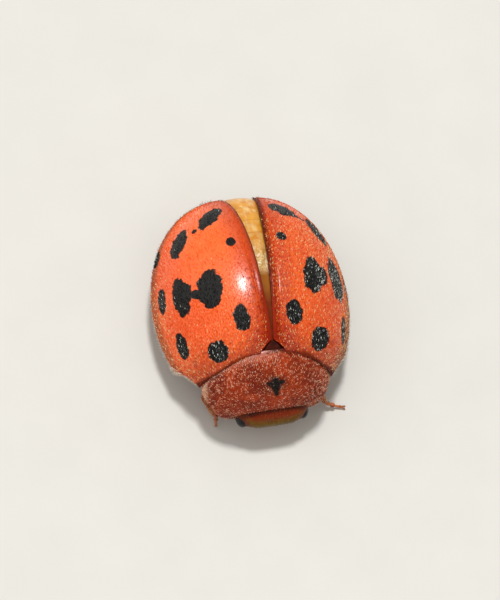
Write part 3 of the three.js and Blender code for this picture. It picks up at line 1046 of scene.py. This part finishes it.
def pronotum_cuticle():
    """Chitin as on the wing cases, but browner and duller, with a clear, glossy hind rim."""
    material = blank("chitin_pronotum")
    place, ground, spotted = pronotum_pattern(material)
    out, back, _ = place
    past_edge = out * out * SHIELD_HIND_BEND + back - SHIELD_HIND_EDGE_Y
    rim = past_edge.into("MapRange", -0.1, -0.07, **SMOOTH)
    rim = rim * zone(place, out=(0.05, -0.1))
    flat_hair = place.into("TexNoise", inputs={"Scale": 1 / 0.025, "Detail": 1.0})
    return surface(material, layers(ground, (spotted, "#120705")), flat_hair * 0.2 + 0.34,
                   CHITIN_IOR, shine=rim * 0.4 + 0.2, gloss=rim * 0.9 + 0.1,
                   gloss_roughness=0.2, height=flat_hair * 0.7 + pits(place, 0.045),
                   depth=0.007)


def pronotum_down():
    """The same pale hair, pinkish over the browner shield, with painted glints, more of them along
    the hind rim as a highlight.
    """
    material = blank("down_pronotum")
    place, ground, spotted = pronotum_pattern(material)
    # More painted glints along the hind rim, as a highlight.
    ridge = zone(place, back=(-1.2, -1.08), out=(0.2, -0.2))
    fine = mottle(place, 0.055, 0.44, 0.58, detail=1.0)
    many = (mottle(place, 0.3, detail=2.0) * 0.3 + 0.42) * fine + 0.04 + ridge * 0.35
    gold = glinting(material, many, ground, "#4C0E04", "#F08450", "#FFDCC0", dark=0.5)
    grey = glinting(material, 0.1, "#120806", "#0A0403", "#5A4434", "#C8B090")
    return hair(material, layers(gold, (spotted, grey)))


def off_hind_rim(places, normals):
    """All but the hind rim, which is bare, and broadly so on the animal's right."""
    x, y = places[:, 0], places[:, 1]
    return hind_edge(x) - y > 0.05 + 0.07 * bump((x + 0.24) / 0.2)


coat("down_pronotum", pronotum(pronotum_cuticle()), pronotum_down(), rearwards(0.2),
     spacing=0.022, seeds=(31, 32), length=0.042, width=0.0112, lift=18, keep=off_hind_rim)


# ---- Scutellum ----

SCUTELLUM_WALL = 0.05
SCUTELLUM_HALF = [
    ((0.1, -1.1), (0.155, -1.09)),
    ((0.165, -1.04), (0.16, -0.985)),
    ((0.09, -0.88), (0.0, SCUTELLUM_TIP_Y)),
]


def scutellum_surface(plan):
    x, y = plan[..., 0], plan[..., 1]
    sunk = 0.004 + 0.14 * ease(-y, 0.92, 1.06)
    bulge = 0.01 * bump(x / 0.1, (y + 0.92) / 0.08)
    return np.stack([x, y, dome_height(x, y) - sunk + bulge], axis=-1)


def scutellum():
    outline = outline_from((0.0, -1.1), both_sides((0.0, -1.1), SCUTELLUM_HALF), 72, 0.03)
    piece = plate("scutellum_plate", outline, (0.0, -0.98), scutellum_surface,
                  np.linspace(0, 1, 14))
    apply(piece, "SOLIDIFY", thickness=SCUTELLUM_WALL, offset=-1)
    cuticle = chitin("chitin_scutellum", "#521A0E", "#280A05", roughness=0.6, gloss=0.0,
                     shine=0.08)
    finished(piece, cuticle, "scutellum_cuticle", "scutellum")


scutellum()


# ---- Head ----

CLYPEUS_LOW, CLYPEUS_HIGH = 0.565, 0.725
CLYPEUS_HALF = 0.33
CLYPEUS_FLARE = 0.6


def head_shape(places):
    """Sets the clypeus off from brow and lip by grooves, and hollows the eye sockets."""
    ahead = (HEAD_CENTRE[1] - places[:, 1]) / HEAD_RADII[1]
    x, z = places[:, 0], places[:, 2]
    front = ease(ahead, 0.5, 0.75)
    places = places.copy()
    half = CLYPEUS_HALF + CLYPEUS_FLARE * (z - CLYPEUS_LOW)
    level = ease(z, CLYPEUS_LOW - 0.015, CLYPEUS_LOW + 0.02) * ease(-z, -CLYPEUS_HIGH, -0.68)
    bulge = level * ease(-np.abs(x), -half - 0.03, -half + 0.02)
    seam = bump((z - CLYPEUS_HIGH - 0.012) / 0.013) * (np.abs(x) < 0.46)
    seam = np.maximum(seam, level * bump((np.abs(x) - half - 0.02) / 0.014))
    places[:, 1] += front * (0.007 * seam - 0.012 * bulge)
    places[:, 1] += front * 0.045 * ease(-z, -CLYPEUS_LOW, -0.5)
    brow = bump(x / 0.2, (z - 0.8) / 0.08) * front
    places[:, 1] += 0.012 * brow
    for side in (LEFT, RIGHT):
        off = (places - EYE_CENTRE * [side, 1, 1]) / (EYE_RADII + 0.03)
        near = bump(np.linalg.norm(off, axis=1) / 0.9)
        places[:, 0] -= side * 0.03 * near
    return places


def head_cuticle():
    """Smooth chitin, wet-looking: red-brown on the brow, darker behind it as the pronotum's painted
    shadow, and olive at the front edge.
    """
    material = blank("chitin_head")
    place = home(material, HEAD_POSE)
    out, back, high = place
    wander = place.into("TexNoise", inputs={"Scale": 1 / 0.12, "Detail": 3.0}) * 0.08 - 0.04
    # Behind the brow the ground is dark: the shadow of the pronotum's front edge, painted.
    brow = (back + wander).into("MapRange", -1.68, -1.8, **SMOOTH)
    # The olive at the front edge is partly the clypeus's own paler colour and partly a painted
    # reflection of green surroundings.
    horn = layers("#604A12", (mottle(place, 0.1), "#705816"))
    level = high + wander * 0.5
    face = (level - CLYPEUS_HIGH).into("MapRange", 0.09, -0.06, **SMOOTH)
    under = (level - CLYPEUS_LOW).into("MapRange", 0.05, -0.04, **SMOOTH)
    past_clypeus = abs(out) - (high - CLYPEUS_LOW) * CLYPEUS_FLARE - CLYPEUS_HALF
    cheek = past_clypeus.into("MapRange", -0.05, 0.12, **SMOOTH)
    colour = layers("#3C0E04", (brow, "#842A08"), (face, horn), (under, "#7E4420"),
                    (cheek, "#6E2A12"))
    worn = place.into("TexNoise", inputs={"Scale": 1 / 0.06})
    grain = place.into("TexNoise", inputs={"Scale": 1 / 0.025})
    return surface(material, colour, worn * 0.12 + 0.3, CHITIN_IOR, shine=0.1, gloss=0.04,
                   gloss_roughness=0.15, height=grain, depth=0.003)


def eye_lens():
    """Black compound eye: a glossy skin of tiny hexagonal lenses."""
    material = blank("compound_eye_lens")
    lens = pits(home(material), 0.014, 0.5, 0.0, randomness=0.25)
    return surface(material, layers("#050505", (lens, "#151212")), roughness=0.25, shine=0.15,
                   gloss=0.2, gloss_roughness=0.06, height=lens, depth=0.003)


def head():
    """The capsule, with a lobe of it notching each eye and a socket for each feeler."""
    capsule = ball("head_capsule", HEAD_CENTRE, HEAD_RADII, 176, HEAD_SQUARENESS)
    move(capsule, head_shape(points_of(capsule)))
    posed(capsule, HEAD_POSE)
    bed = Bed(capsule)
    parts = [capsule]
    for side in (LEFT, RIGHT):
        notch = limb("canthus", [(side * 0.34, -1.77, 0.58), (side * 0.43, -1.8, 0.585),
                                 (side * 0.51, -1.8, 0.59)], [0.05, 0.04, 0.022],
                     [0.02, 0.018, 0.01])
        socket = ball("socket", (side * 0.4, -1.76, 0.5), (0.05, 0.05, 0.045), 24)
        for part in (notch, socket):
            posed(part, HEAD_POSE)
            parts.append(part)
    finished(joined("head_capsule", parts), head_cuticle(), "head_cuticle", "head")
    return bed


def forwards(places, normals):
    """A lie of the coat towards the mouth."""
    return np.tile([0.0, -1.0, -0.4], (len(places), 1))


EYE_MATERIAL = eye_lens()


def eye(label, side):
    centre = EYE_CENTRE * [side, 1, 1]
    piece = ball(f"eyeball_{label}", centre, EYE_RADII, 64)
    places = points_of(piece) - centre
    inner = ease(-places[:, 0] * side, 0.0, EYE_RADII[0])
    places[:, 2] *= 1 - 0.25 * inner
    move(piece, places + centre)
    posed(piece, HEAD_POSE)
    finished(piece, EYE_MATERIAL, "eye_lens", f"eye_{label}")


coat("down_head", head(), pale_down("down_head", "#6A2C10", "#A0683C"), forwards,
     spacing=0.042, seeds=(41, 42), length=0.03, width=0.007, lift=20,
     keep=lambda p, n: p[:, 2] > 0.5)
for label, side in SIDES.items():
    eye(label, side)

LIMB_CUTICLE = chitin("chitin_limb", "#C87034", "#8E4018", roughness=0.32, cloud=0.09)


def mouthparts():
    """Upper lip, jaws, lower lip, and the two palps with their hatchet-shaped last joint."""
    lip = ball("lip", (0, -1.775, 0.475), (0.21, 0.06, 0.055), 40, 3.0)
    chin = ball("chin", (0, -1.58, 0.35), (0.17, 0.13, 0.05), 32, 2.6)
    parts = [lip, chin]
    for side in (LEFT, RIGHT):
        flip = np.array([side, 1, 1])
        jaw = flip * [(0.2, -1.62, 0.42), (0.19, -1.7, 0.41), (0.12, -1.76, 0.4),
                      (0.02, -1.76, 0.39)]
        palp = flip * [(0.19, -1.54, 0.33), (0.26, -1.58, 0.3), (0.31, -1.64, 0.28),
                       (0.29, -1.69, 0.27)]
        hatchet = palp[3] + flip * [(0, 0, 0), (-0.015, -0.035, -0.005), (-0.03, -0.07, -0.01)]
        lip_palp = flip * [(0.07, -1.68, 0.32), (0.085, -1.72, 0.3), (0.075, -1.74, 0.29)]
        parts.append(limb("jaw", jaw, [0.055, 0.06, 0.045, 0.01]))
        for start, end in zip(palp[:-1], palp[1:]):
            parts.append(limb("palp", [start, (start + end) / 2, end], [0.018, 0.026, 0.02],
                              around=12, stations=12))
        parts.append(limb("hatchet", hatchet, [0.018, 0.045, 0.062], [0.014, 0.024, 0.026],
                          around=16, stations=14))
        parts.append(limb("lip_palp", lip_palp, [0.014, 0.018, 0.01], stations=10))
    piece = joined("mouth", parts)
    posed(piece, HEAD_POSE)
    finished(piece, LIMB_CUTICLE, "limb_cuticle", "mouthparts")


mouthparts()

FEELER_PATH = [(0.41, -1.75, 0.49), (0.48, -1.72, 0.44), (0.55, -1.65, 0.39), (0.57, -1.57, 0.36),
               (0.53, -1.5, 0.34), (0.46, -1.45, 0.35), (0.38, -1.43, 0.36)]
FEELER_GIRTHS = [0.032, 0.024, 0.019, 0.018, 0.018, 0.018, 0.019, 0.021, 0.03, 0.037, 0.032]


def antenna(label, side):
    """Eleven joints, the last three widened into a club, folded in under the head."""
    stops = along(FEELER_PATH, len(FEELER_GIRTHS) + 1) * [side, 1, 1]
    parts = []
    for start, end, girth in zip(stops[:-1], stops[1:], FEELER_GIRTHS):
        parts.append(limb("joint", [start, (2 * start + 3 * end) / 5, end],
                          [girth * 0.6, girth, girth * 0.8], around=10, stations=10))
    piece = joined(f"feeler_{label}", parts)
    posed(piece, HEAD_POSE)
    finished(piece, LIMB_CUTICLE, "limb_cuticle", f"antenna_{label}")


for label, side in SIDES.items():
    antenna(label, side)


# ---- Trunk ----

BELLY_RADII = np.array([1.3, 1.78, 0.2])
BACK_RISE = 1.29
TRUNK_CENTRE = np.array([0.0, 0.08, 0.56])
SEGMENT = 0.27


def trunk_shape(places):
    """A domed back and a flat belly, both in overlapping rings that narrow to the tail."""
    x, y, z = (places - TRUNK_CENTRE).T
    high = np.where(z > 0, z * BACK_RISE, z * BELLY_RADII[2])
    y = y * BELLY_RADII[1]
    ring = np.mod(-y / SEGMENT, 1.0)
    overlap = np.where(z > 0, 0.004 * np.sin(2 * math.pi * ring), 0.014 * (ring - 0.5))
    overlap = overlap * ease(y, -0.1, 0.2)
    x = x * BELLY_RADII[0] * (1 + overlap)
    high = high * (1 + overlap * 1.2)
    keel = -0.035 * bump(x / 0.35) * (high < 0) * ease(-y, 0.0, 0.3)
    y = y + 0.13 * (1 - ease(np.abs(x), 0.18, 0.5)) * ease(y, 1.1, 1.6)
    return np.stack([x, y, high + keel], axis=1) + TRUNK_CENTRE


def trunk_cuticle():
    """Soft stretched skin of a full abdomen: waxy amber, yellower and clearer at the tail, with
    painted cream highlight streaks along the middle and painted shade in front and at the neck.
    """
    material = blank("chitin_abdomen")
    place = home(material)
    out, back, _ = place
    cloud = place.into("TexNoise", inputs={"Scale": 1 / 0.2, "Detail": 3.0})
    amber = cloud.into("MapRange", 0.35, 0.65, **SMOOTH)
    pale = mottle(place, 0.13, 0.55, 0.7, detail=2.0)
    # Painted highlight: cream streaks along the middle of the back.
    streak = mottle(place.into("Mapping", inputs={"Scale": (1.0, 0.3, 0.3)}), 0.07, 0.42, 0.72)
    middle = abs(out).into("MapRange", 0.32, 0.1, **SMOOTH)
    under = zone(place, high=(0.62, 0.46))
    # Painted shade: darker in front, where the trunk lies low under the wing cases, and darkest at
    # the neck under the pronotum.
    fore = zone(place, back=(0.0, -0.35))
    neck = zone(place, back=(-0.4, -0.8))
    ring = (back * (-1 / SEGMENT)).into("Math", operation="FRACT")
    crease = ring.into("MapRange", 0.16, 0.0, **SMOOTH)
    ground = layers(
        "#D88818", (amber, "#E6A030"), (pale * 0.5, "#F3D08A"),
        (streak * middle * 0.6, "#F6D896"), (under, "#9C5426"), (fore * 0.9, "#8A3A14"),
        (neck, "#3A120A"), (crease * (fore * -0.25 + 0.25), "#A05A18"),
    )
    grain = place.into("TexNoise", inputs={"Scale": 1 / 0.03, "Detail": 3.0})
    return surface(material, ground, cloud * 0.2 + 0.25 + neck * 0.4,
                   shine=fore * -0.35 + 0.4, gloss=fore * -0.25 + 0.25, gloss_roughness=0.2,
                   height=grain, depth=0.004)


def trunk():
    """One skin over thorax and abdomen."""
    piece = ball("trunk", (0, 0, 0), (1, 1, 1), 160)
    move(piece, trunk_shape(points_of(piece) + TRUNK_CENTRE))
    bed = Bed(piece)
    finished(piece, trunk_cuticle(), "body_cuticle", "abdomen", "thorax", "prothorax")
    return bed


coat("down_belly", trunk(), pale_down("down_belly", "#A8683C", "#E8C8A0"), rearwards(0.1),
     spacing=0.05, seeds=(51, 52), length=0.045, width=0.008, lift=20,
     keep=lambda p, n: p[:, 2] < 0.5)


# ---- Hind wings, folded on the back ----

HIND_WING_DEPTH = 0.07
HIND_WING_WALL = 0.008


def hind_wing_surface(side):
    def surface(plan):
        x, y = plan[..., 0], plan[..., 1]
        pleat = 0.012 * np.sin(28 * (x + 0.12 * np.sin(3.1 * y + side)) + side)
        crumple = 0.008 * np.sin(41 * y + 9 * x) * np.sin(17 * x - 5 * y + 2 * side)
        z = dome_height(x, y, HIND_WING_DEPTH) + pleat + crumple - 0.01 * side
        return np.stack([x, y, z], axis=-1)
    return surface


def wing_membrane():
    """Thin folded membrane: smoky amber with cream crinkles, painted cream glitter, and painted
    shade towards the front, where it lies lower.
    """
    material = blank("wing_membrane")
    place = home(material)
    crinkle = place.into("TexNoise", inputs={"Scale": 1 / 0.05, "Detail": 3.0})
    cream = crinkle.into("MapRange", 0.3, 0.7, **SMOOTH)
    # Painted glitter: small cream specks standing in for glints.
    sparkle = mottle(place, 0.028, 0.58, 0.68, detail=1.0)
    tip = zone(place, back=(0.55, 0.85))
    # Painted shade: darker where the folded wings lie lower, towards the front, and darker still
    # near their roots.
    shade = zone(place, back=(0.42, 0.22))
    root = zone(place, back=(0.1, -0.3))
    ground = layers(
        "#C08838", (cream, "#E6C182"), (sparkle * 0.7, "#FFF2D4"), (tip * 0.7, "#DE9830"),
        (shade, layers("#9C5C1C", (root, "#7A2E10"))),
    )
    return surface(material, ground, shade * 0.4 + 0.35, ior=1.56, shine=shade * -0.4 + 0.5,
                   height=crinkle, depth=0.006)


MEMBRANE = wing_membrane()


def hind_wing(label, side):
    outline = outline_from((-0.06, -0.8), [
        ((0.25, -0.9), (0.5, -0.7)), ((0.56, 0.1), (0.46, 0.5)), ((0.3, 0.74), (0.06, 0.9)),
        ((-0.06, 0.93), (-0.07, 0.8)), ((-0.05, 0.2), (-0.06, -0.8)),
    ], 96, 0.05)
    piece = plate(f"folded_wing_{label}", outline, (0.2, 0.3), hind_wing_surface(side),
                  np.linspace(0, 1, 40))
    posed(piece, side=side)
    apply(piece, "SOLIDIFY", thickness=HIND_WING_WALL, offset=-1)
    finished(piece, MEMBRANE, "wing_membrane", f"hind_wing_{label}")


for label, side in SIDES.items():
    hind_wing(label, side)


# ---- Legs ----

# Half the thickness of a leg solid, and how high the tip of the real foot lies.
ROD_HALF = 0.25
TOE_Z = 0.026


def rod_end(node, side, out, back, z, off_x=0.0, off_y=0.0):
    """The end of a leg solid's axis, outwards as +X, at the height that the real joint has."""
    low, high = ((np.array(corner) - np.array(ORIGIN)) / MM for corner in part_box(node))
    x = (high[0] - ROD_HALF if out * side > 0 else low[0] + ROD_HALF) * side
    y = high[1] - ROD_HALF if back > 0 else low[1] + ROD_HALF
    return np.array([x + off_x, y + off_y, z])


LEG_DOWN = pale_down("down_leg", "#B86A38", "#F0CCA0")


def straight(start, end):
    """A lie of the coat along a limb."""
    return lambda places, normals: np.tile(end - start, (len(places), 1))


def leg(name, side, hip, knee, ankle, toe):
    """Thigh, shin and a three-jointed foot with two claws, each its own piece."""
    flip = np.array([side, 1, 1])
    hip, knee, ankle, toe = (point * flip for point in (hip, knee, ankle, toe))
    thigh = limb("thigh", along([hip, knee], 5), [0.07, 0.1, 0.11, 0.095, 0.06],
                 [0.06, 0.08, 0.085, 0.07, 0.045], 20, 24)
    down = [hairs("down", Bed(thigh, 0, 2).roots(0.036, 61), straight(hip, knee),
                  length=0.035, width=0.007, lift=24, seed=62)]
    socket = ball("socket", hip, (0.13, 0.12, 0.09), 24)
    piece = joined(f"{name}_thigh", [thigh, socket])
    finished(piece, LIMB_CUTICLE, "limb_cuticle", f"{name}_femur")
    shin = limb(f"{name}_shin", along([knee, ankle], 5), [0.032, 0.04, 0.044, 0.048, 0.04],
                [0.028, 0.034, 0.036, 0.038, 0.03], 16, 20)
    down.append(hairs("down", Bed(shin, 1, 2).roots(0.026, 63), straight(knee, ankle),
                      length=0.032, width=0.006, lift=28, seed=64))
    finished(shin, LIMB_CUTICLE, "limb_cuticle", f"{name}_tibia")
    finished(joined(f"down_{name}", down), LEG_DOWN, "down", smooth=180)
    pad = ankle + (toe - ankle) * 0.55 - [0, 0, 0.03]
    heel = ankle + (pad - ankle) * 0.5
    parts = [
        limb("pad", [ankle, (ankle + heel) / 2, heel], [0.024, 0.034, 0.036], stations=12),
        limb("pad", [heel, (heel + pad) / 2, pad], [0.028, 0.042, 0.044], stations=12),
        limb("claw_joint", [pad, (pad + toe) / 2, toe], [0.018, 0.02, 0.026], stations=12),
    ]
    ahead = (toe - pad) / np.linalg.norm(toe - pad)
    beside = np.cross(ahead, [0, 0, 1])
    for fork in (-1, 1):
        bends = [toe - 0.01 * ahead + 0.008 * fork * beside,
                 toe + 0.03 * ahead + 0.02 * fork * beside + [0, 0, 0.004],
                 toe + 0.055 * ahead + 0.028 * fork * beside - [0, 0, 0.006],
                 toe + 0.062 * ahead + 0.03 * fork * beside - [0, 0, 0.022]]
        parts.append(limb("claw", bends, [0.012, 0.011, 0.008, 0.003], around=10, stations=12))
    foot = joined(f"{name}_foot", parts)
    low = points_of(foot)[:, 2].min()
    foot.data.transform(Matrix.Translation((0, 0, -low)))
    finished(foot, LIMB_CUTICLE, "limb_cuticle", f"{name}_tarsus")


# Hip and knee lie at corners of the thigh's box, ankle and toe at one each of the shin's and the
# foot's: which corner, outwards and back, how high, and for the fore legs how far off that.
STANCES = {
    "fore_left": ((-1, 1, 0.42), (1, -1, 0.45), (1, -1, 0.17), (1, -1, TOE_Z, -0.03, 0)),
    "fore_right": ((-1, 1, 0.42), (1, -1, 0.47, 0.05, -0.04), (-1, -1, 0.22, -0.16, -0.06),
                   (-1, -1, TOE_Z, -0.1, 0.14)),
    "middle": ((-1, 1, 0.38), (1, -1, 0.4), (1, 1, 0.13), (1, 1, TOE_Z)),
    "hind": ((-1, -1, 0.36), (1, 1, 0.38), (-1, 1, 0.13), (-1, 1, TOE_Z)),
}
SOLIDS = ("femur", "femur", "tibia", "tarsus")

for label, side in SIDES.items():
    for pair, stance in (("fore", f"fore_{label}"), ("middle", "middle"), ("hind", "hind")):
        name = f"{pair}_leg_{label}"
        leg(name, side, *(rod_end(f"{name}_{solid}", side, *place)
                          for solid, place in zip(SOLIDS, STANCES[stance])))


# ---- Floor, light and camera ----

FLOOR_SIZE = 4.0
FIBRES_PER_METRE = 900.0


def floor():
    """Pale sheet of matt card, large enough to run out of sight."""
    piece = begin("floor", bpy.ops.mesh.primitive_plane_add, size=FLOOR_SIZE)
    card = blank("card_floor")
    place = add(card.node_tree, "TexCoord", output="Object")
    fibre = place.into("TexNoise", inputs={"Scale": FIBRES_PER_METRE, "Detail": 3.0})
    surface(card, layers("#DEDCD6", (fibre, "#E6E4DE")), roughness=0.9)
    piece.data.materials.append(card)
    piece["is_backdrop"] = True


def studio():
    """A lamp high up behind the animal, a broad soft one on its right, and an even sky."""
    lamps = (("key_lamp", 2.0, 9, (-0.05, 0.305, 0.95)), ("side_lamp", 0.6, 80, (-0.8, 0.1, 0.6)))
    for name, energy, angle, towards in lamps:
        data = bpy.data.lights.new(name, "SUN")
        data.energy = energy
        data.angle = math.radians(angle)
        lamp = bpy.data.objects.new(name, data)
        lamp.rotation_euler = Vector(towards).to_track_quat("Z", "Y").to_euler()
        bpy.context.scene.collection.objects.link(lamp)
    world = bpy.data.worlds.new("studio")
    world.use_nodes = True
    tree = world.node_tree
    tree.nodes.clear()
    light = add(tree, "Background", "#FFFDF6", 0.4)
    shown = add(tree, "Background", "#E4E3DE", 1.0)
    seen, glossy, clear = (add(tree, "LightPath", output=f"Is {ray} Ray")
                           for ray in ("Camera", "Glossy", "Transmission"))
    add(tree, "OutputWorld", (seen | glossy | clear).into("MixShader", light, shown))
    bpy.context.scene.world = world


CAMERA_AZIMUTH = math.radians(-36.0)
CAMERA_ELEVATION = math.radians(67.5)
CAMERA_ROLL = math.radians(29.0)
CAMERA_DISTANCE = 0.15
VIEW_HEIGHT = 9.69 * MM
AIM = Vector((0.0, 0.0, 1.0)) * MM
AIM_RIGHT, AIM_ABOVE = -0.113 * MM, 0.121 * MM


def camera():
    """A long lens, high over the animal's right shoulder, and rolled."""
    data = bpy.data.cameras.new("camera")
    data.sensor_width = 36.0
    data.lens = data.sensor_width * CAMERA_DISTANCE / VIEW_HEIGHT
    data.clip_start, data.clip_end = 0.01, 10.0
    viewer = bpy.data.objects.new("camera", data)
    bpy.context.scene.collection.objects.link(viewer)
    flat = math.cos(CAMERA_ELEVATION)
    back = Vector((math.sin(CAMERA_AZIMUTH) * flat, -math.cos(CAMERA_AZIMUTH) * flat,
                   math.sin(CAMERA_ELEVATION)))
    level = Vector((0, 0, 1)).cross(back).normalized()
    upright = back.cross(level)
    right = math.cos(CAMERA_ROLL) * level + math.sin(CAMERA_ROLL) * upright
    up = -math.sin(CAMERA_ROLL) * level + math.cos(CAMERA_ROLL) * upright
    viewer.matrix_world = Matrix.Translation(
        AIM + AIM_RIGHT * right + AIM_ABOVE * up + back * CAMERA_DISTANCE
    ) @ Matrix((right, up, back)).transposed().to_4x4()
    bpy.context.scene.camera = viewer


floor()
studio()
camera()
bpy.context.scene.view_settings.view_transform = "Standard"

boxes = {"cad": CAD_BOX, "visual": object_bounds()}
{name: [list(corner) for corner in box] for name, box in boxes.items()}
